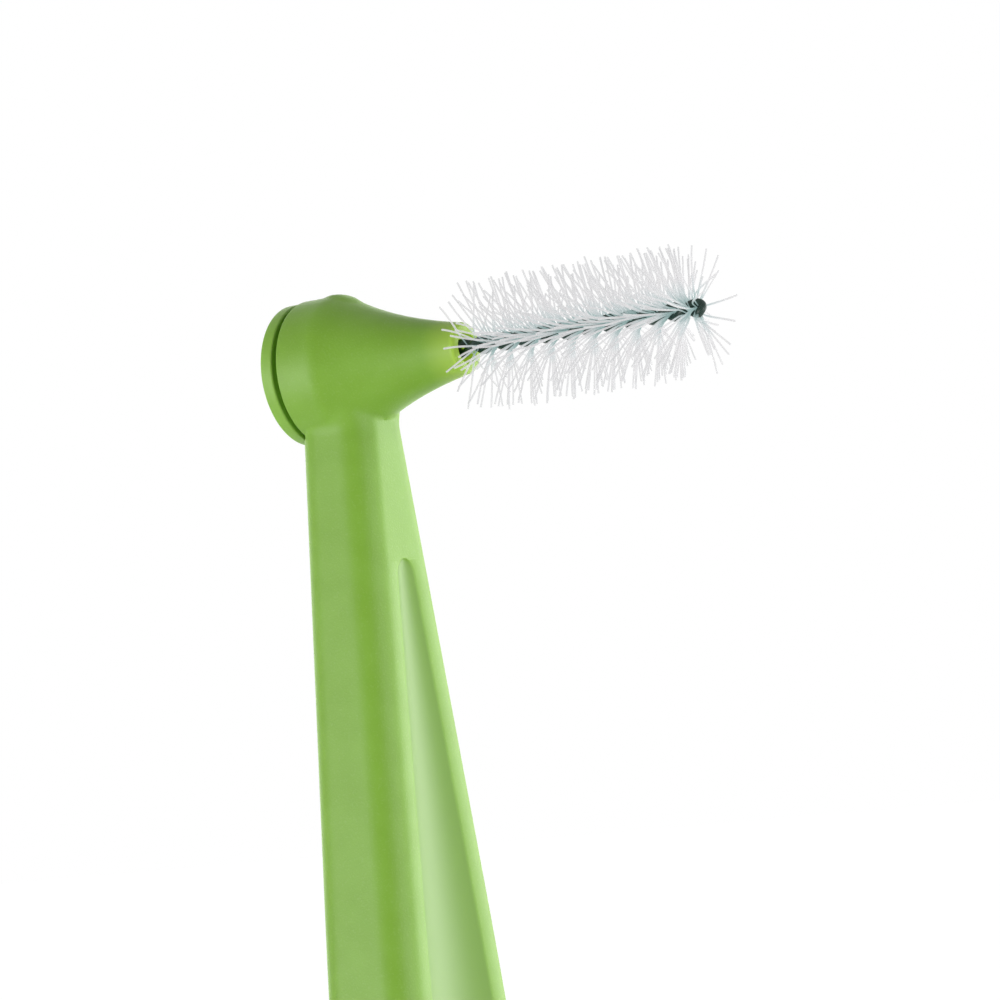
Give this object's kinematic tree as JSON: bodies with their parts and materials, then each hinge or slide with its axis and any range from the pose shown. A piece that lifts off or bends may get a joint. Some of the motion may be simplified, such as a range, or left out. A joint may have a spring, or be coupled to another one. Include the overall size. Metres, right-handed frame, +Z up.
{
  "type": "interdental brush",
  "caption": "Long-handled interdental brush: slim tapered handle, round head at the top, and a small twisted-wire bristle brush at a right angle.",
  "frame": {"origin": "centre of the small flat on the butt of the handle", "axes": "+Z up along the handle to the head, +X forward along the brush, +Y across the handle's width"},
  "size_m": [0.0229, 0.01, 0.1501],
  "materials": {
    "handle_plastic": "green polypropylene, fine spark-eroded texture",
    "carrier_plastic": "green polypropylene, smooth",
    "steel_wire": "drawn stainless steel",
    "wire_coating": "smooth dark green coating",
    "nylon_bristles": "pale translucent nylon"
  },
  "bodies": {
    "root": {"handle": "handle_plastic", "brush_carrier": "carrier_plastic", "wire": "steel_wire", "wire_coating": "wire_coating", "bristles": "nylon_bristles"}
  },
  "joints": []
}
